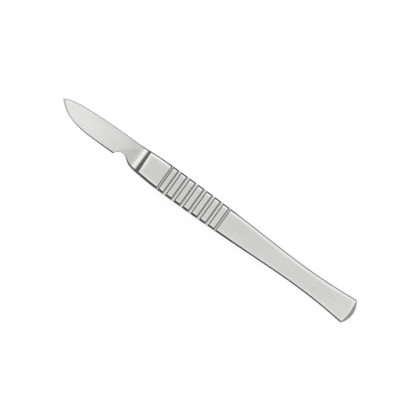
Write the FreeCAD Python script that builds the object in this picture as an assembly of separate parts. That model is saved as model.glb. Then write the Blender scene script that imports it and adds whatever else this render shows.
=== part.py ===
import FreeCAD, Part
import math
import os

# Solid forged scalpel: blade, neck, ribbed grip and handle are one piece of steel.
# It is drawn with the tip near X = 0, the tail towards +X, the spine towards +Y, the cutting
# edge towards -Y and the middle plane at Z = 0, and is laid on the flat of its handle at the end.

# Whole length and handle thickness
overall_length = 155.0
shoulder_from_tip = 44.6
shoulder_thickness = 4.2
tail_thickness = 2.0

# Blade outline, with offsets measured from the long axis
tip_offset = 2.2
spine_offset = 5.43
edge_offset = 4.52
belly_root_radius = 48.9
belly_root_turn = 11.6
belly_tip_radius = 18.5
spine_root_radius = 237.0
spine_root_turn = 5.1
spine_tip_radius = 29.0

# Finger notch between the heel of the edge and the neck
notch_from_tip = 34.6
notch_depth = 2.56
notch_radius = 3.47
notch_exit_angle = 43.0

# Neck between the blade and the grip
neck_corner_from_tip = 39.3
neck_corner_offset = 4.52
neck_swell_from_tip = 42.6
neck_swell_offset = 5.30
neck_edge_from_tip = 50.0
neck_edge_offset = 5.86
neck_edge_end = 58.0
neck_spine_start = 37.2
neck_spine_offset = 5.76
neck_spine_end = 54.6

# Handle outline
grip_end = 59.0
grip_width = 12.18
taper_middle = 98.5
taper_middle_width = 10.82
waist_from_tip = 127.0
waist_width = 9.12
tail_width = 11.86
tail_corner_from_end = 2.3
tail_corner_radius = 0.7

# Blade section: a flat wedge with a ground cutting bevel
heel_edge_thickness = 0.36
heel_spine_thickness = 1.26
spine_tip_thickness = 1.00
bevel_angle = 19.0
edge_land = 0.04

# Hollow run-up from the blade faces to the shoulder
run_up_radius = 6.2
run_up_skew = 0.5

# Broken edges of the handle, measured across its face and down its side, and the end of the tail
rim_width = 0.50
rim_depth = 0.38
tail_slope_length = 1.6
tail_slope_drop = 0.42
tail_slope_radius = 19.0

# Ribbed grip, cut alike in both faces
groove_count = 6
groove_pitch = 4.46
groove_width = 2.18
end_groove_width = 1.32
front_end_groove_step = 3.88
rear_end_groove_step = 3.46
groove_lip_width = 0.46
groove_lip_angle = 33.0
groove_floor_angle = 20.0
first_groove_from_shoulder = 14.40

# Room by which a cutting tool stands clear of the steel, and the turn its hollow is carried through
clearance = 3.0
cutter_turn = 60.0

# Height within which an edge counts as lying in a flat face
touching = 1e-4


def point(x, y, z=0.0):
    return FreeCAD.Vector(x, y, z)


def mirrored(edge):
    # The same edge on the other side of the long axis.
    return edge.mirror(point(0, 0), point(0, 1))


def arc_about(centre, radius, start, end):
    # An arc in the XY plane between two angles in degrees.
    ends = []
    for angle in (start, (start + end) / 2, end):
        reach = point(math.cos(math.radians(angle)), math.sin(math.radians(angle)))
        ends.append(centre + reach * radius)
    return Part.Arc(*ends).toShape()


def closing_angle(rise, first_radius, first_turn, second_radius):
    # The whole turn, in degrees, at which two tangent arcs have climbed by rise.
    first_cosine = math.cos(math.radians(first_turn))
    left = rise - first_radius * (1 - first_cosine)
    return math.degrees(math.acos(first_cosine - left / second_radius))


def sweep_of_arcs(first_radius, first_turn, second_radius, whole_turn):
    # The distance along the axis that two tangent arcs cover.
    first_sine = math.sin(math.radians(first_turn))
    whole_sine = math.sin(math.radians(whole_turn))
    return first_radius * first_sine + second_radius * (whole_sine - first_sine)


belly_rise = tip_offset + edge_offset
belly_turn = closing_angle(belly_rise, belly_root_radius, belly_root_turn, belly_tip_radius)
belly_start = sweep_of_arcs(belly_root_radius, belly_root_turn, belly_tip_radius, belly_turn)
spine_fall = spine_offset - tip_offset
spine_turn = closing_angle(spine_fall, spine_root_radius, spine_root_turn, spine_tip_radius)
spine_start = sweep_of_arcs(spine_root_radius, spine_root_turn, spine_tip_radius, spine_turn)
notch_centre = point(notch_from_tip, notch_depth - edge_offset - notch_radius)
heel_run = math.sqrt(notch_radius**2 - (notch_radius - notch_depth) ** 2)
heel_from_tip = notch_from_tip - heel_run
thickness_slope = (shoulder_thickness - tail_thickness) / 2 / (overall_length - shoulder_from_tip)


def handle_half_thickness(x):
    return shoulder_thickness / 2 - thickness_slope * (x - shoulder_from_tip)


def belly_centres():
    # Centres of the two arcs that carry the cutting edge round to the tip.
    turn = math.radians(belly_root_turn)
    root = point(belly_start, belly_root_radius - edge_offset)
    gap = belly_root_radius - belly_tip_radius
    return root, root + point(-math.sin(turn), -math.cos(turn)) * gap


def edge_side_of_blade():
    # From the tip round the belly, along the straight edge and through the notch.
    root, near_tip = belly_centres()
    down = -90.0
    heel = point(heel_from_tip, -edge_offset)
    heel_angle = math.degrees(math.atan2(heel.y - notch_centre.y, heel.x - notch_centre.x))
    exit_angle = 90.0 - notch_exit_angle
    return [
        arc_about(near_tip, belly_tip_radius, down - belly_turn, down - belly_root_turn),
        arc_about(root, belly_root_radius, down - belly_root_turn, down),
        Part.makeLine(point(belly_start, -edge_offset), heel),
        arc_about(notch_centre, notch_radius, heel_angle, exit_angle),
    ]


def spine_side_of_blade():
    # From the neck along the spine to the tip.
    turn = math.radians(spine_root_turn)
    root = point(spine_start, spine_offset - spine_root_radius)
    gap = spine_root_radius - spine_tip_radius
    near_tip = root + point(-math.sin(turn), math.cos(turn)) * gap
    up = 90.0
    return [
        Part.makeLine(point(neck_spine_start, spine_offset), point(spine_start, spine_offset)),
        arc_about(root, spine_root_radius, up, up + spine_root_turn),
        arc_about(near_tip, spine_tip_radius, up + spine_root_turn, up + spine_turn),
    ]


def smooth_curve(points, first_tangent, last_tangent):
    curve = Part.BSplineCurve()
    curve.interpolate(Points=points, InitialTangent=first_tangent, FinalTangent=last_tangent)
    return curve.toShape()


def neck_on_edge_side():
    # Out of the notch, over the soft corner and on to the full width of the grip.
    angle = math.radians(notch_exit_angle)
    leave = notch_centre + point(math.sin(angle), math.cos(angle)) * notch_radius
    points = [
        leave,
        point(neck_corner_from_tip, -neck_corner_offset),
        point(neck_swell_from_tip, -neck_swell_offset),
        point(neck_edge_from_tip, -neck_edge_offset),
        point(neck_edge_end, -grip_width / 2),
    ]
    return smooth_curve(points, point(math.cos(angle), -math.sin(angle)), point(1, 0))


def neck_on_spine_side():
    points = [
        point(neck_spine_end, grip_width / 2),
        point(shoulder_from_tip, neck_spine_offset),
        point(neck_spine_start, spine_offset),
    ]
    return smooth_curve(points, point(-1, 0), point(-1, 0))


def handle_side():
    # One long side of the handle, drawn on the edge side from the grip to the tail corner.
    points = [
        point(grip_end, -grip_width / 2),
        point(taper_middle, -taper_middle_width / 2),
        point(waist_from_tip, -waist_width / 2),
    ]
    taper = smooth_curve(points, point(1, 0), point(1, 0))
    run = overall_length - tail_corner_from_end - waist_from_tip
    spread = (tail_width - waist_width) / 2
    radius = (run**2 + spread**2) / (2 * spread)
    turn = math.degrees(math.asin(run / radius))
    flare = arc_about(point(waist_from_tip, -waist_width / 2 - radius), radius, 90.0, 90.0 - turn)
    return [taper, flare]


def tail_end():
    corner = overall_length - tail_corner_from_end
    half = tail_width / 2
    return Part.Arc(point(corner, -half), point(overall_length, 0), point(corner, half)).toShape()


def plan_outline():
    side = handle_side()
    far_side = [mirrored(edge) for edge in side]
    half = grip_width / 2
    near_grip = Part.makeLine(point(neck_edge_end, -half), point(grip_end, -half))
    far_grip = Part.makeLine(point(grip_end, half), point(neck_spine_end, half))
    edges = edge_side_of_blade() + [neck_on_edge_side(), near_grip] + side + [tail_end()]
    edges += far_side + [far_grip, neck_on_spine_side()] + spine_side_of_blade()
    return Part.Wire(Part.__sortEdges__(edges))


def side_on(corners, half_width):
    # A solid with the given corners in the XZ plane, as wide as twice half_width.
    points = [point(x, -half_width, z) for x, z in corners]
    face = Part.Face(Part.makePolygon(points + points[:1]))
    return face.extrude(point(0, 2 * half_width))


def blank():
    # The outline as thick as the wedge of the handle, with the tail corners rounded.
    reach = shoulder_thickness
    plate = Part.Face(plan_outline()).extrude(point(0, 0, 2 * reach))
    plate.translate(point(0, 0, -reach))
    corner = overall_length - tail_corner_from_end
    upright = [
        edge
        for edge in plate.Edges
        if abs(edge.CenterOfMass.x - corner) < tail_corner_radius
        and abs(abs(edge.CenterOfMass.y) - tail_width / 2) < tail_corner_radius
    ]
    plate = plate.makeFillet(tail_corner_radius, upright)
    front = -clearance
    back = overall_length + clearance
    corners = [
        (front, handle_half_thickness(front)),
        (back, handle_half_thickness(back)),
        (back, -handle_half_thickness(back)),
        (front, -handle_half_thickness(front)),
    ]
    return plate.common(side_on(corners, grip_width))


def face_slopes():
    # Rise of the half thickness of the blade per millimetre, along the axis and across it.
    across = (heel_spine_thickness - heel_edge_thickness) / 2 / (spine_offset + edge_offset)
    along = (heel_spine_thickness - spine_tip_thickness) / 2 / heel_from_tip
    return along, across


def blade_half_thickness(x, y):
    along, across = face_slopes()
    return heel_edge_thickness / 2 + along * (x - heel_from_tip) + across * (y + edge_offset)


def face_grinder():
    # All that lies above the upper face of the blade, up to the hollow that ends at the shoulder.
    rise = handle_half_thickness(shoulder_from_tip) - blade_half_thickness(shoulder_from_tip, 0)
    run = math.sqrt(2 * run_up_radius * rise - rise**2)
    along, across = face_slopes()
    start = point(shoulder_from_tip - run, 0)
    start.z = blade_half_thickness(start.x, 0)
    skew = math.radians(run_up_skew)
    climb = along * math.cos(skew) - across * math.sin(skew)
    forward = point(math.cos(skew), -math.sin(skew), climb)
    upward = point(-along, -across, 1)
    hollow = []
    for share in (0.0, 0.5, 1.0):
        turn = math.radians(cutter_turn * share)
        hollow.append(point(math.sin(turn), 0, 1 - math.cos(turn)) * run_up_radius)
    foot, middle, crest = hollow
    top = crest.z + clearance
    back = -overall_length / 2
    profile = [
        Part.makeLine(point(back, 0), foot),
        Part.Arc(foot, middle, crest).toShape(),
        Part.makeLine(crest, point(crest.x, 0, top)),
        Part.makeLine(point(crest.x, 0, top), point(back, 0, top)),
        Part.makeLine(point(back, 0, top), point(back, 0)),
    ]
    face = Part.Face(Part.Wire(profile))
    face.translate(point(0, -2 * grip_width))
    cutter = face.extrude(point(0, 4 * grip_width))
    turned = FreeCAD.Rotation(forward, point(0, 0), upward, "ZXY")
    cutter.Placement = FreeCAD.Placement(start, turned)
    return cutter


def rim_edges(body):
    # The edges round the two flat faces of the handle, without the lips at the shoulder.
    found = []
    for edge in body.Edges:
        first, last = edge.ParameterRange
        samples = [edge.valueAt(first + (last - first) * share) for share in (0.0, 0.5, 1.0)]
        on_face = all(abs(abs(p.z) - handle_half_thickness(p.x)) < touching for p in samples)
        in_front = samples[1].x < shoulder_from_tip + rim_width
        if on_face and not in_front:
            found.append(edge)
    return found


def both_faces(tools):
    # The same cuts for the underside.
    flipped = [tool.mirror(point(0, 0), point(0, 0, 1)) for tool in tools]
    return tools + flipped


def groove(x, width):
    # A hollow groove right across the upper face, with a sloped lip on each side of its floor.
    lip_depth = groove_lip_width * math.tan(math.radians(groove_lip_angle))
    floor_half = width / 2 - groove_lip_width
    depth = lip_depth + floor_half * math.tan(math.radians(groove_floor_angle / 2))
    offsets = [
        (-width / 2, 0),
        (-floor_half, -lip_depth),
        (0, -depth),
        (floor_half, -lip_depth),
        (width / 2, 0),
        (width / 2, clearance),
        (-width / 2, clearance),
    ]
    side = -2 * grip_width
    outer, inner, lowest, far_inner, far_outer, far_top, top = [
        point(x + run, side, handle_half_thickness(x + run) + rise) for run, rise in offsets
    ]
    profile = [Part.Arc(inner, lowest, far_inner).toShape()]
    corners = [far_inner, far_outer, far_top, top, outer, inner]
    for start, end in zip(corners, corners[1:]):
        profile.append(Part.makeLine(start, end))
    return Part.Face(Part.Wire(profile)).extrude(point(0, -2 * side))


def grip_grooves():
    # Even grooves, with a narrower one a little closer at each end.
    first = shoulder_from_tip + first_groove_from_shoulder
    centres = [first + groove_pitch * number for number in range(groove_count)]
    tools = [groove(x, groove_width) for x in centres]
    tools.append(groove(centres[0] - front_end_groove_step, end_groove_width))
    tools.append(groove(centres[-1] + rear_end_groove_step, end_groove_width))
    return tools


def tail_slope():
    # The conical slope that thins the very end of the tail, with a bowed edge towards the handle.
    start_x = overall_length - tail_slope_length
    start_z = handle_half_thickness(start_x)
    fall = tail_slope_drop / tail_slope_length
    front = start_x - clearance
    back = overall_length + clearance
    top = start_z + fall * clearance + clearance
    corners = [
        point(front, 0, start_z + fall * clearance),
        point(back, 0, start_z - fall * (back - start_x)),
        point(back, 0, top),
        point(front, 0, top),
    ]
    face = Part.Face(Part.makePolygon(corners + corners[:1]))
    pivot = point(start_x - tail_slope_radius, 0)
    spread = math.degrees(math.atan(tail_width / tail_slope_radius))
    face.rotate(pivot, point(0, 0, 1), -spread)
    return face.revolve(pivot, point(0, 0, 1), 2 * spread)


def bevel_section(at, outward):
    # Cross-section of the edge grinder, standing on the edge at a point and reaching outward.
    slope = math.tan(math.radians(bevel_angle))
    inside = clearance
    land = edge_land / 2
    crest = land + inside * slope
    upper = [(0, land), (-inside, crest), (clearance, crest)]
    lower = [(reach, -z) for reach, z in reversed(upper)]
    corners = upper + lower
    points = [at + outward * reach + point(0, 0, z) for reach, z in corners]
    return Part.Face(Part.makePolygon(points + points[:1]))


def edge_grinders():
    # The bevel follows the straight edge and both arcs of the belly, and runs out past the tip.
    axis = point(0, 0, 1)
    root, near_tip = belly_centres()
    start = point(belly_start, -edge_offset)
    run = heel_from_tip + heel_run / 2 - belly_start
    straight = bevel_section(start, point(0, -1)).extrude(point(run, 0))
    first_arc = bevel_section(start, point(0, -1)).revolve(root, axis, -belly_root_turn)
    turn = math.radians(belly_root_turn)
    outward = point(-math.sin(turn), -math.cos(turn))
    joint = root + outward * belly_root_radius
    past_tip = belly_turn - belly_root_turn + math.degrees(clearance / belly_tip_radius)
    second_arc = bevel_section(joint, outward).revolve(near_tip, axis, -past_tip)
    return [straight, first_arc, second_arc]


def laid_down(body):
    # Turned until the underside of the handle is level, with the origin under the middle.
    body.rotate(point(0, 0), point(0, 1), math.degrees(math.atan(thickness_slope)))
    box = body.optimalBoundingBox(False, False)
    body.translate(point(-box.Center.x, -box.Center.y, -box.ZMin))
    return body


def scalpel():
    body = blank().cut(both_faces([face_grinder()]))
    body = body.makeChamfer(rim_depth, rim_width, rim_edges(body))
    body = body.cut(both_faces(grip_grooves() + [tail_slope()]))
    body = body.cut(edge_grinders())
    return laid_down(body.Solids[0])


os.makedirs("parts", exist_ok=True)
forged_scalpel = scalpel()
forged_scalpel.exportStep("parts/forged_scalpel.step")
box = forged_scalpel.optimalBoundingBox(False, False)
print("size", round(box.XLength, 2), round(box.YLength, 2), round(box.ZLength, 2))
print("valid", forged_scalpel.isValid(), "volume", round(forged_scalpel.Volume, 1))
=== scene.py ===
import bmesh
import bpy
import math
from mathutils import Matrix, Vector


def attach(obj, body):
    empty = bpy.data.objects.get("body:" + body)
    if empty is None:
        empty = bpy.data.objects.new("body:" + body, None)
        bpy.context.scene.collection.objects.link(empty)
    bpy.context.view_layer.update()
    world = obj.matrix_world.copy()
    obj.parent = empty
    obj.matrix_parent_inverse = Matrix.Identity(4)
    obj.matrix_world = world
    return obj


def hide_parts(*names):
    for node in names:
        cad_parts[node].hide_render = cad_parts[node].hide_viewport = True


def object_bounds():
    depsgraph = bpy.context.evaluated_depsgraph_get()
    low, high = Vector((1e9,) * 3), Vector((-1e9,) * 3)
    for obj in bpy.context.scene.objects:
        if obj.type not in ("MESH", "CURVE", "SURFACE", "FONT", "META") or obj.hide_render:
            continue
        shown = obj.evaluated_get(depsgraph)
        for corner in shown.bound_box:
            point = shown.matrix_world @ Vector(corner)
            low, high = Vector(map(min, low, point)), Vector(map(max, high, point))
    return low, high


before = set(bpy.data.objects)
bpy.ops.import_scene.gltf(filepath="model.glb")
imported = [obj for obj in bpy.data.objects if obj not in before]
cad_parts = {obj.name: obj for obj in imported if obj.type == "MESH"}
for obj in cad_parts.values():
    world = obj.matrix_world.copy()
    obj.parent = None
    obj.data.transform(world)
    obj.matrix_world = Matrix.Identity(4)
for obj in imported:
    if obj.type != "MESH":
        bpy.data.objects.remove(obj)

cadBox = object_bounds()
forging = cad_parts["forged_scalpel"]

# camera: the knife's axis runs down to the right across a 400 pixel frame
view = {
    "imageSide": 400,
    "axisAngle": 35.90,            # degrees, clockwise from the horizontal
    "middlePixel": (206.49, 208.20),
    "lengthInPixels": 361.5,
    "leanToEdge": 4.0,             # degrees that the camera leans over the cutting edge
    "aimHeight": 0.0021,
    "lens": 200.0,
    "sensor": 36.0,
    "seesTo": 10,
}


def placeCamera():
    low, high = cadBox
    frameWidth = (high.x - low.x) * view["imageSide"] / view["lengthInPixels"]
    distance = frameWidth * view["lens"] / view["sensor"]
    pixel = frameWidth / view["imageSide"]
    turn = math.radians(view["axisAngle"])
    lean = math.radians(view["leanToEdge"])
    back = Vector((0, -math.sin(lean), math.cos(lean)))
    spineward = Vector((0, math.cos(lean), math.sin(lean)))
    tailward = Vector((1, 0, 0))
    right = tailward * math.cos(turn) + spineward * math.sin(turn)
    up = spineward * math.cos(turn) - tailward * math.sin(turn)
    half = view["imageSide"] / 2
    aim = Vector((0, 0, view["aimHeight"]))
    aim += right * (half - view["middlePixel"][0]) * pixel
    aim -= up * (half - view["middlePixel"][1]) * pixel
    camera = bpy.data.objects.new("camera", bpy.data.cameras.new("camera"))
    camera.data.lens = view["lens"]
    camera.data.sensor_width = view["sensor"]
    camera.data.clip_end = view["seesTo"]
    turned = Matrix((right, up, back)).transposed().to_4x4()
    camera.matrix_world = Matrix.Translation(aim + back * distance) @ turned
    bpy.context.scene.collection.objects.link(camera)
    bpy.context.scene.camera = camera


placeCamera()
print("camera placed")


# nodes for the floor, the room and the steel
def addNode(tree, kind, **values):
    node = tree.nodes.new("ShaderNode" + kind)
    for name, value in values.items():
        setattr(node, name, value)
    return node


def combined(tree, operation, *inputs):
    # each input is a number or another node's output
    node = addNode(tree, "Math", operation=operation)
    for socket, value in zip(node.inputs, inputs):
        if isinstance(value, (int, float)):
            socket.default_value = value
        else:
            tree.links.new(value, socket)
    return node.outputs[0]


def ranged(tree, source, fromRange, toRange, curve="LINEAR"):
    node = addNode(tree, "MapRange", interpolation_type=curve)
    node.inputs["From Min"].default_value, node.inputs["From Max"].default_value = fromRange
    node.inputs["To Min"].default_value, node.inputs["To Max"].default_value = toRange
    tree.links.new(source, node.inputs["Value"])
    return node.outputs["Result"]


# floor: near white for the eye and for reflections, with the knife's own shadow
floorLook = {
    "side": 6.0,
    "colour": (0.93, 0.93, 0.93, 1),
    "white": 1.10,
    "whiteShare": 0.8,             # the rest is lit paper, which keeps the knife's shadow
}


def makeFloorPaper():
    material = bpy.data.materials.new("floor")
    material.use_nodes = True
    tree = material.node_tree
    paper = tree.nodes["Principled BSDF"]
    paper.inputs["Base Color"].default_value = floorLook["colour"]
    paper.inputs["Roughness"].default_value = 1
    paper.inputs["Specular IOR Level"].default_value = 0
    white = addNode(tree, "Emission")
    white.inputs["Strength"].default_value = floorLook["white"]
    rays = addNode(tree, "LightPath").outputs
    seen = combined(tree, "MAXIMUM", rays["Is Camera Ray"], rays["Is Glossy Ray"])
    seen = combined(tree, "MAXIMUM", seen, rays["Is Transmission Ray"])
    mix = addNode(tree, "MixShader")
    tree.links.new(combined(tree, "MULTIPLY", seen, floorLook["whiteShare"]), mix.inputs["Fac"])
    tree.links.new(paper.outputs[0], mix.inputs[1])
    tree.links.new(white.outputs[0], mix.inputs[2])
    tree.links.new(mix.outputs[0], tree.nodes["Material Output"].inputs["Surface"])
    return material


def layFloor():
    mesh = bpy.data.meshes.new("floor")
    sheet = bmesh.new()
    bmesh.ops.create_grid(sheet, x_segments=1, y_segments=1, size=floorLook["side"] / 2)
    sheet.to_mesh(mesh)
    sheet.free()
    mesh.materials.append(makeFloorPaper())
    floor = bpy.data.objects.new("floor", mesh)
    bpy.context.scene.collection.objects.link(floor)


layFloor()
print("floor laid")

# light: five soft panels round the camera in a plain grey room
studio = {
    "panelHeight": 1.1,
    "panels": {                    # per unit of height: from and to along X, the same along Y; brightness
        "tipNear": (-0.48, -0.30, -0.36, 0.50, 0.5),
        "tipFar": (-1.18, -0.48, -0.36, 0.50, 0.88),
        "tail": (0.30, 0.45, -0.36, 0.50, 1.0),
        "edge": (-0.30, 0.30, -0.36, -0.14, 1.2),
        "spine": (-0.30, 0.30, 0.26, 0.50, 1.0),
    },
    "roomGreys": (0.42, 0.85),              # of the walls and of the ceiling
    "wallToCeiling": (0.88, 0.975),         # where one turns into the other, as the height of a look
    "darkSide": (0.20, -0.35, 0.0),         # towards the tail and the cutting edge
}


def softPanel(name, x0, x1, y0, y1, brightness):
    high = studio["panelHeight"]
    lamp = bpy.data.lights.new(name, "AREA")
    lamp.shape = "RECTANGLE"
    lamp.size = (x1 - x0) * high
    lamp.size_y = (y1 - y0) * high
    lamp.energy = brightness * math.pi * lamp.size * lamp.size_y      # as bright as that in a mirror
    panel = bpy.data.objects.new(name, lamp)
    panel.location = ((x0 + x1) / 2 * high, (y0 + y1) / 2 * high, high)
    panel.visible_camera = False
    bpy.context.scene.collection.objects.link(panel)


def lightRoom():
    world = bpy.data.worlds.new("room")
    bpy.context.scene.world = world
    world.use_nodes = True
    tree = world.node_tree
    look = addNode(tree, "TexCoord").outputs["Generated"]
    parts = addNode(tree, "SeparateXYZ")
    tree.links.new(look, parts.inputs[0])
    grey = ranged(tree, parts.outputs["Z"], studio["wallToCeiling"], studio["roomGreys"], "SMOOTHSTEP")
    side = addNode(tree, "VectorMath", operation="DOT_PRODUCT")
    side.inputs[1].default_value = studio["darkSide"]
    tree.links.new(look, side.inputs[0])
    shade = combined(tree, "SUBTRACT", 1, side.outputs["Value"])
    room = tree.nodes["Background"]
    room.inputs["Color"].default_value = (1, 1, 1, 1)
    tree.links.new(combined(tree, "MULTIPLY", grey, shade), room.inputs["Strength"])


for name, sizes in studio["panels"].items():
    softPanel(name, *sizes)
lightRoom()
print("studio lit")

# knife: the forging itself, with crowned flats and broken edges, and painted light and shade for each facet
knife = {
    "weld": 2e-6,                  # metres within which the forging's loose corners are one
    "flatAngle": 0.4,              # degrees: facets that lie closer than this are one face
    "shoulder": -0.0329,           # where the neck meets the grip
    "gripFrom": -0.0336,           # in front of this only the neck
    "neckFrom": -0.0440,           # the notch's far side
    "grooves": (-0.0236, 0.0100),  # the grooved stretch of the grip, from and to along X
    "tailSlope": 0.0741,           # behind this the tail slopes down
    "tailCorners": 0.074,          # behind this the flats' rounded corners become plain corners
    "cornerWeld": 0.00032,         # and these corners of a flat are one when they are this near
    "flatArea": 3e-6,              # smallest flat of the handle, in square metres
    "crownSteps": (0.00030, 0.00042),       # inset rings inside each rib's flat
    "wideStep": 0.00115,                    # second ring inside the two long flats
    "longFlat": 0.005,                      # flats longer than this are the long ones
    "crownDrops": (0.000012, 0.000004),     # how far the rim of a flat and its first ring lie low
    "ribEnds": 0.0038,             # from the middle line to the ribs' ends with painted highlight
    "edgeBand": (                  # extra width of the band on the edge side, dark with painted shade: at X, width
        (-0.0425, 0.0),
        (-0.0375, 0.00075),
        (-0.0346, 0.00080),
        (-0.0334, 0.0),
        (-0.0330, 0.0),
        (-0.0329, 0.00042),
        (-0.0120, 0.00042),
        (0.0300, 0.0),
        (0.0780, 0.0),
    ),
    "spineBand": (                 # and on the spine side
        (-0.0385, 0.0),
        (-0.0370, 0.00018),
        (-0.0346, 0.00018),
        (-0.0334, 0.0),
        (-0.0250, 0.0),
        (-0.0236, 0.00010),
        (0.0090, 0.00010),
        (0.0120, 0.0),
    ),
    "grooveShifts": (              # how far the grooves stand further back: at X, by
        (-0.0300, 0.0),
        (-0.0231, 0.00030),
        (-0.0217, 0.00038),
        (-0.0196, 0.00015),
        (0.0049, 0.00022),
        (0.0066, 0.00086),
        (0.0080, 0.00107),
        (0.0140, 0.0),
    ),
    "swell": (-0.0310, -0.0195),   # the grip's edge side swells along this as one parabola
    "swellHalf": 0.00609,          # from the middle line to its top
    "swellRise": 0.00047,
    "rimWidth": 0.0005,            # of the forging's own rims
    "spineBreak": (0.00023, 0.00030),       # width of the broken edge, and the least half thickness
    "edgeBreak": (0.00013, 0.00016),        # that it needs; thinner edges stay sharp
    "breakSegments": 2,
    "breakTo": -0.03303,           # the broken edges end here, just before the grip
    "wallShare": 0.5,              # of the band's extra width, by which the neck's side is lowered
    "wallLeft": 0.00003,           # how near to the middle plane that side may come
    "middleHeight": 0.0021,        # of the steel's middle plane at the shoulder
    "middleRise": 0.010,           # of that plane towards the tip
    "creaseAngle": 14.0,           # degrees from which an edge shows as a crease
    "upright": {                   # a facet's kind, by the share of its normal that is up or down
        "sheer": 0.30,                 # less: the wall beside an edge that is to be broken
        "wall": 0.35,                  # less: any wall
        "slope": 0.60,                 # more: the face on the other side of a broken edge
        "lip": 0.90,                   # less: a groove's lip
        "tail": 0.95,                  # less: the sloped end of the tail
        "rim": 0.97,                   # less: a rim, the run-up or the blade's bevel
        "nearFlat": 0.99,              # less: no flat
        "flat": 0.995,                 # more: a flat of the handle, once it is crowned
        "plainFlat": 0.999,            # more: the same before
    },
    "paintedLights": {                     # painted shade and highlight of each facet: share of the steel's own brightness, or pairs of X and share
        # painted shade darkens the walls, rims, lips, groove floors, run-up, tail corners and broken edges;
        # painted highlight brightens the flats' margins and the bevel near the tip
        "wall": 0.60,
        "spineRim": (
            (-0.0400, 0.27),
            (-0.0325, 0.27),
            (-0.0240, 0.10),
            (0.0090, 0.10),
            (0.0200, 0.50),
            (0.0800, 0.50),
        ),
        "edgeRim": (
            (-0.0400, 0.30),
            (-0.0260, 0.30),
            (-0.0220, 0.34),
            (-0.0060, 0.26),
            (0.0060, 0.22),
            (0.0110, 0.27),
            (0.0800, 0.25),
        ),
        "lipToTip": ((-0.0300, 0.24), (0.0062, 0.24), (0.0080, 0.40), (0.0200, 0.40)),
        "lipToTail": 0.78,
        "floorByLip": 0.50,
        "grooveFloor": 0.85,
        "spineMargin": (               # painted highlight round the flats, where the crown turns the light away
            (-0.0400, 1.42),
            (-0.0236, 1.42),
            (-0.0230, 1.38),
            (0.0088, 1.38),
            (0.0092, 1.32),
            (0.0700, 1.32),
            (0.0730, 1.12),
            (0.0800, 1.12),
        ),
        "edgeMargin": (
            (-0.0400, 1.22),
            (-0.0236, 1.22),
            (-0.0200, 1.16),
            (0.0088, 1.16),
            (0.0092, 1.12),
            (0.0700, 1.12),
            (0.0730, 1.08),
            (0.0800, 1.08),
        ),
        "runUpFoot": 0.70,
        "footSpan": (-0.0354, -0.0347),         # along X, where the run-up's painted shade turns darker at its foot
        "runUpEnd": 0.33,
        "endLean": 0.45,                        # share of the normal along X from which it is the end
        "tailCorner": 0.50,
        "edgeTip": 1.35,
        "edgeHeel": 0.18,
        "edgeSpan": (-0.0690, -0.0640),         # along X, where the bevel turns from one to the other
        "spineBreak": 0.20,
        "neckSpineBreak": 0.02,
        "neckBreak": 0.22,
    },
}
upright, paintedLights = knife["upright"], knife["paintedLights"]


def smoothShare(value, low, high):
    share = min(max((value - low) / (high - low), 0), 1)
    return share * share * (3 - 2 * share)


def stepped(points, x):
    # the value at X between the given pairs, and none outside them
    for (x0, value0), (x1, value1) in zip(points, points[1:]):
        if x0 <= x <= x1:
            return value0 + (value1 - value0) * (x - x0) / (x1 - x0)
    return 0.0


def handleFlats(shape):
    return [
        face
        for face in shape.faces
        if abs(face.normal.z) > upright["plainFlat"]
        and face.calc_area() > knife["flatArea"]
        and face.calc_center_median().x > knife["shoulder"]
    ]


def flatCorners(flats):
    return {corner: face.normal.copy() for face in flats for corner in face.verts}


def onGrip(face):
    front, back = knife["grooves"]
    return all(front < corner.co.x < back for corner in face.verts)


def lengthOf(face):
    along = [corner.co.x for corner in face.verts]
    return max(along) - min(along)


def placeGrooves(shape):
    for corner in shape.verts:
        corner.co.x += stepped(knife["grooveShifts"], corner.co.x)


def easeSwell(shape):
    rim = flatCorners(handleFlats(shape))
    front, back = knife["swell"]
    for corner in shape.verts:
        x, y = corner.co.xy
        if not front < x < back:
            continue
        share = (back - x) / (back - front)
        limit = knife["swellHalf"] - knife["swellRise"] * share * share
        if corner in rim:
            limit -= knife["rimWidth"]
        if -y > limit:
            corner.co.y = -limit
    # a stray point on the rim itself goes, so that the rim runs straight on
    stray = [
        corner
        for corner in shape.verts
        if front < corner.co.x < knife["grooves"][0]
        and all(upright["wall"] < abs(face.normal.z) < upright["nearFlat"] for face in corner.link_faces)
    ]
    bmesh.ops.dissolve_verts(shape, verts=stray)


def widenBands(corners):
    # each corner moves inwards on its own slope
    for corner, slope in corners.items():
        if corner.co.y < 0:
            inward = stepped(knife["edgeBand"], corner.co.x)
        else:
            inward = -stepped(knife["spineBand"], corner.co.x)
        corner.co.y += inward
        corner.co.z -= inward * slope.y / slope.z


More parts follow.
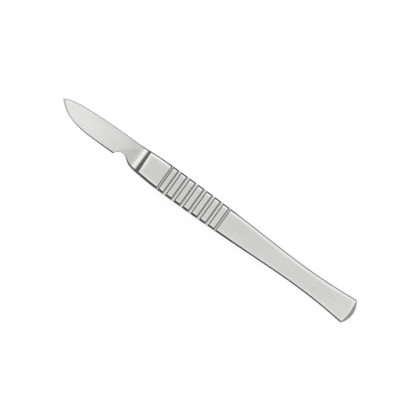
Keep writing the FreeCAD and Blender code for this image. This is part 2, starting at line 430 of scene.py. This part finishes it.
def crownFlats(shape):
    tailCorners = [
        corner for corner in flatCorners(handleFlats(shape)) if corner.co.x > knife["tailCorners"]
    ]
    bmesh.ops.remove_doubles(shape, verts=tailCorners, dist=knife["cornerWeld"])
    flats = handleFlats(shape)
    rim = flatCorners(flats)
    firstStep, secondStep = knife["crownSteps"]
    bmesh.ops.inset_individual(shape, faces=flats, thickness=firstStep, use_even_offset=True)
    ring = flatCorners(flats)
    longFlats = [flat for flat in flats if lengthOf(flat) > knife["longFlat"]]
    ribFlats = [flat for flat in flats if flat not in longFlats]
    bmesh.ops.inset_individual(shape, faces=ribFlats, thickness=secondStep, use_even_offset=True)
    bmesh.ops.inset_individual(shape, faces=longFlats, thickness=knife["wideStep"], use_even_offset=True)
    bmesh.ops.remove_doubles(shape, verts=list(flatCorners(longFlats)), dist=knife["cornerWeld"])
    for corners, drop in zip((rim, ring), knife["crownDrops"]):
        for corner, side in corners.items():
            corner.co.z -= math.copysign(drop, side.z)
    # a cut across the ribs near each end, so that their painted highlight lies outside it only
    for y in (knife["ribEnds"], -knife["ribEnds"]):
        ribs = [face for face in shape.faces if abs(face.normal.z) > upright["flat"] and onGrip(face)]
        parts = ribs + [part for face in ribs for part in (*face.edges, *face.verts)]
        bmesh.ops.bisect_plane(
            shape, geom=list(dict.fromkeys(parts)), dist=knife["weld"],
            plane_co=(0, y, 0), plane_no=(0, 1, 0),
        )
    return set(rim) | set(ring)


def fromMiddlePlane(place):
    return place.z - knife["middleHeight"] - knife["middleRise"] * (knife["shoulder"] - place.x)


def lowerNeckWall(corners):
    for corner in corners:
        away = fromMiddlePlane(corner.co)
        band = stepped(knife["edgeBand"], corner.co.x)
        drop = min(knife["wallShare"] * band, abs(away) - knife["wallLeft"])
        if corner.co.y < 0 and drop > 0:
            corner.co.z -= math.copysign(drop, away)


def outlineEdges(shape, onSpine, least):
    # the edges between the blade's or the neck's wall and its faces, where the steel is thick enough
    outline = []
    for edge in shape.edges:
        middle = (edge.verts[0].co + edge.verts[1].co) / 2
        if max(corner.co.x for corner in edge.verts) > knife["breakTo"] or (middle.y > 0) != onSpine:
            continue
        ups = sorted(abs(face.normal.z) for face in edge.link_faces)
        turns = ups[0] < upright["sheer"] and ups[-1] > upright["slope"]
        if turns and abs(fromMiddlePlane(middle)) > least:
            outline.append(edge)
    return outline


def breakEdges(shape, broken):
    for onSpine, (width, least) in ((True, knife["spineBreak"]), (False, knife["edgeBreak"])):
        bevelled = bmesh.ops.bevel(
            shape, geom=outlineEdges(shape, onSpine, least), affect="EDGES",
            offset=width, offset_type="OFFSET", clamp_overlap=False,
            segments=knife["breakSegments"], profile=0.5, material=-1,
        )
        for face in bevelled["faces"]:
            face[broken] = 1
    shape.normal_update()
    slanted = {face for face in shape.faces if face[broken]}
    beside = {face for one in slanted for corner in one.verts for face in corner.link_faces} - slanted
    # the flattest come last, because a corner takes its slope from the last face that it is on
    sides = sorted(beside, key=lambda face: abs(face.normal.z))
    inner = {
        corner: face.normal.copy()
        for face in sides
        if abs(face.normal.z) > upright["slope"]
        for corner in face.verts
        if corner.co.x > knife["neckFrom"] and not slanted.isdisjoint(corner.link_faces)
    }
    outer = {
        corner
        for face in sides
        if abs(face.normal.z) < upright["wall"]
        for corner in face.verts
        if knife["neckFrom"] < corner.co.x < knife["shoulder"] and not slanted.isdisjoint(corner.link_faces)
    }
    widenBands(inner)
    lowerNeckWall(outer - set(inner))
    print("edges broken:", len(slanted), "faces")


# painted light and shade for each facet, by its kind and place
def paintedLightOf(face, corner, margin, isBroken):
    turn = Vector((abs(face.normal.x), abs(face.normal.y), abs(face.normal.z)))
    middle = face.calc_center_median()
    x = corner.co.x
    steep = turn.z < upright["rim"]
    if isBroken:
        spine = paintedLights["spineBreak"] if x < knife["neckFrom"] else paintedLights["neckSpineBreak"]
        return spine if middle.y > 0 else paintedLights["neckBreak"]
    if turn.z < upright["wall"]:
        return paintedLights["wall"]
    if middle.x < knife["neckFrom"]:
        if turn.z > upright["rim"]:
            return 1
        tip, heel = paintedLights["edgeTip"], paintedLights["edgeHeel"]
        return tip + (heel - tip) * smoothShare(x, *paintedLights["edgeSpan"])
    if middle.x < knife["gripFrom"] or turn.x > turn.y and middle.x < knife["shoulder"] and steep:
        if turn.x > paintedLights["endLean"]:
            return paintedLights["runUpEnd"]
        return 1 - (1 - paintedLights["runUpFoot"]) * smoothShare(x, *paintedLights["footSpan"])
    if turn.y > turn.x and steep:
        return stepped(paintedLights["spineRim"] if middle.y > 0 else paintedLights["edgeRim"], x)
    if middle.x > knife["tailSlope"] and turn.z < upright["tail"]:
        return paintedLights["tailCorner"]
    if turn.z > upright["flat"]:
        if corner not in margin:
            return 1
        return stepped(paintedLights["spineMargin"] if corner.co.y > 0 else paintedLights["edgeMargin"], x)
    if not knife["grooves"][0] < x < knife["grooves"][1]:
        return 1
    if turn.z < upright["lip"]:
        return stepped(paintedLights["lipToTip"], x) if face.normal.x < 0 else paintedLights["lipToTail"]
    return paintedLights["floorByLip"] if x < middle.x and face.normal.x > 0 else paintedLights["grooveFloor"]


def shapeKnife():
    shape = bmesh.new()
    shape.from_mesh(forging.data)
    bmesh.ops.remove_doubles(shape, verts=shape.verts, dist=knife["weld"])
    bmesh.ops.dissolve_limit(
        shape, angle_limit=math.radians(knife["flatAngle"]), verts=shape.verts, edges=shape.edges
    )
    broken = shape.faces.layers.int.new("broken")
    placeGrooves(shape)
    easeSwell(shape)
    shape.normal_update()
    widenBands(flatCorners(handleFlats(shape)))
    margin = crownFlats(shape)
    breakEdges(shape, broken)
    manySided = [face for face in shape.faces if len(face.verts) > 4]
    bmesh.ops.triangulate(shape, faces=manySided)
    shape.normal_update()
    for face in shape.faces:
        face.smooth = True
    for edge in shape.edges:
        edge.smooth = edge.calc_face_angle() < math.radians(knife["creaseAngle"])
    # each corner takes its facet's painted light and shade
    paintedLight = shape.loops.layers.float.new("paintedLight")
    for face in shape.faces:
        for loop in face.loops:
            loop[paintedLight] = paintedLightOf(face, loop.vert, margin, face[broken])
    mesh = bpy.data.meshes.new("knife")
    shape.to_mesh(mesh)
    shape.free()
    piece = bpy.data.objects.new("knife", mesh)
    bpy.context.scene.collection.objects.link(piece)
    weighted = piece.modifiers.new("weightedNormals", "WEIGHTED_NORMAL")
    weighted.keep_sharp = True
    return piece


blade = shapeKnife()
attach(blade, "root")
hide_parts("forged_scalpel")
print("knife shaped:", len(blade.data.polygons), "faces")

# steel: satin ground along the knife, duller where the painted shade is darker, with a painted highlight
# towards the tip and painted shade behind the blade
steelLook = {
    "colour": (0.68, 0.68, 0.675),
    "roughness": (0.30, 0.20),     # on the darkest and on the plain facets
    "edgeTint": (0.10, 1.0),       # how white the steel turns at a grazing look, the same way
    "paintedLightRange": (0.40, 0.95),     # the painted light values that count as darkest and as plain for these two
    "tipHighlight": 0.26,                # painted highlight, brighter at the tip, falling to nothing at the neck
    "tipHighlightRun": (-0.0800, -0.0425),        # from the tip to where it ends, along X
    "neckDark": 0.19,              # painted shade behind a slanted line across the blade's heel
    "neckFrom": (-0.0434, -0.0427),         # along X, on the knife's axis
    "neckSkew": -1.27,             # the line runs back towards the spine
    "neckStep": 0.42,              # share of the painted shade that starts at the line
    "neckDeeper": (-0.0460, -0.0395),       # and the stretch in which the rest comes in
    "neckEnd": (-0.0385, -0.0360),          # where it all ends, before the run-up
    "noiseRange": (0.3, 0.7),      # of the noise, spread over the two brightness ranges below
    "grain": 0.025,                # brightness of the satin lines, up and down
    "grainScale": (60.0, 5200.0, 5200.0),
    "grainDetail": 3,
    "grainBump": 0.3,
    "grainDepth": 2e-6,
    "smudge": 0.03,                # brightness of the wide smudges, up and down
    "smudgeScale": (45.0, 160.0, 160.0),
    "smudgeDetail": 2,
}


def newGroup(name, inputs, outputs):
    group = bpy.data.node_groups.new(name, "ShaderNodeTree")
    for label, value in inputs.items():
        kind = "NodeSocketVector" if isinstance(value, tuple) else "NodeSocketFloat"
        group.interface.new_socket(label, in_out="INPUT", socket_type=kind).default_value = value
    for label in outputs:
        group.interface.new_socket(label, in_out="OUTPUT", socket_type="NodeSocketFloat")
    place = addNode(group, "TexCoord").outputs["Object"]
    given = group.nodes.new("NodeGroupInput").outputs
    result = group.nodes.new("NodeGroupOutput").inputs
    return group, place, given, result


def placedGroup(tree, group):
    node = tree.nodes.new("ShaderNodeGroup")
    node.node_tree = group
    return node.outputs


def makeGrain():
    group, place, given, result = newGroup(
        "satinGrain",
        {"Line Scale": steelLook["grainScale"], "Smudge Scale": steelLook["smudgeScale"]},
        ("Lines", "Smudges"),
    )
    kinds = (
        ("Line Scale", steelLook["grainDetail"], "Lines"),
        ("Smudge Scale", steelLook["smudgeDetail"], "Smudges"),
    )
    for scale, detail, outcome in kinds:
        stretched = addNode(group, "VectorMath", operation="MULTIPLY")
        group.links.new(place, stretched.inputs[0])
        group.links.new(given[scale], stretched.inputs[1])
        noise = addNode(group, "TexNoise")
        noise.inputs["Scale"].default_value = 1
        noise.inputs["Detail"].default_value = detail
        group.links.new(stretched.outputs[0], noise.inputs["Vector"])
        group.links.new(noise.outputs["Fac"], result[outcome])
    return group


def makeBladeShade():
    # painted highlight towards the tip, and painted shade from a slanted line at the heel to the run-up
    group, place, given, result = newGroup(
        "bladeShade", {"Tip Highlight": steelLook["tipHighlight"], "Neck Dark": steelLook["neckDark"]}, ("Brightness",)
    )
    parts = addNode(group, "SeparateXYZ")
    group.links.new(place, parts.inputs[0])
    along = parts.outputs["X"]
    slanted = combined(group, "MULTIPLY_ADD", parts.outputs["Y"], steelLook["neckSkew"], along)
    step = ranged(group, slanted, steelLook["neckFrom"], (0, steelLook["neckStep"]), "SMOOTHSTEP")
    deeper = ranged(group, along, steelLook["neckDeeper"], (0, 1 - steelLook["neckStep"]), "SMOOTHSTEP")
    ended = ranged(group, along, steelLook["neckEnd"], (1, 0), "SMOOTHSTEP")
    # painted shade from the slanted line back to the run-up
    roughnessAndShade = combined(group, "MULTIPLY", combined(group, "ADD", step, deeper), ended)
    dark = combined(group, "MULTIPLY", roughnessAndShade, given["Neck Dark"])
    nearTip = ranged(group, along, steelLook["tipHighlightRun"], (1, 0))
    bright = combined(group, "MULTIPLY", nearTip, given["Tip Highlight"])
    change = combined(group, "SUBTRACT", bright, dark)
    group.links.new(combined(group, "ADD", change, 1), result["Brightness"])
    return group


def makeSteel():
    material = bpy.data.materials.new("satinSteel")
    material.use_nodes = True
    tree = material.node_tree
    shader = tree.nodes["Principled BSDF"].inputs
    shader["Metallic"].default_value = 1
    # painted light and shade of each facet, darkening or brightening the steel's colour
    paintedLight = addNode(tree, "Attribute", attribute_name="paintedLight").outputs["Fac"]
    grain = placedGroup(tree, makeGrain())
    zones = placedGroup(tree, makeBladeShade())
    lines, smudges = (
        ranged(tree, grain[kind], steelLook["noiseRange"], (1 - change, 1 + change))
        for kind, change in (("Lines", steelLook["grain"]), ("Smudges", steelLook["smudge"]))
    )
    facets = combined(tree, "MULTIPLY", paintedLight, lines)
    # the smudges, times the painted highlight at the tip and the painted shade at the neck
    zoned = combined(tree, "MULTIPLY", smudges, zones["Brightness"])
    colour = addNode(tree, "VectorMath", operation="SCALE")
    colour.inputs[0].default_value = steelLook["colour"]
    tree.links.new(combined(tree, "MULTIPLY", facets, zoned), colour.inputs["Scale"])
    tree.links.new(colour.outputs[0], shader["Base Color"])
    roughnessAndShade = ranged(tree, paintedLight, steelLook["paintedLightRange"], steelLook["roughness"])
    # the painted shade also darkens the grazing reflection
    tint = ranged(tree, paintedLight, steelLook["paintedLightRange"], steelLook["edgeTint"])
    tree.links.new(combined(tree, "MULTIPLY", roughnessAndShade, smudges), shader["Roughness"])
    tree.links.new(tint, shader["Specular Tint"])
    bump = addNode(tree, "Bump")
    bump.inputs["Strength"].default_value = steelLook["grainBump"]
    bump.inputs["Distance"].default_value = steelLook["grainDepth"]
    tree.links.new(grain["Lines"], bump.inputs["Height"])
    tree.links.new(bump.outputs["Normal"], shader["Normal"])
    return material


blade.data.materials.append(makeSteel())
print("steel ready")

bpy.context.scene.view_settings.view_transform = "Standard"
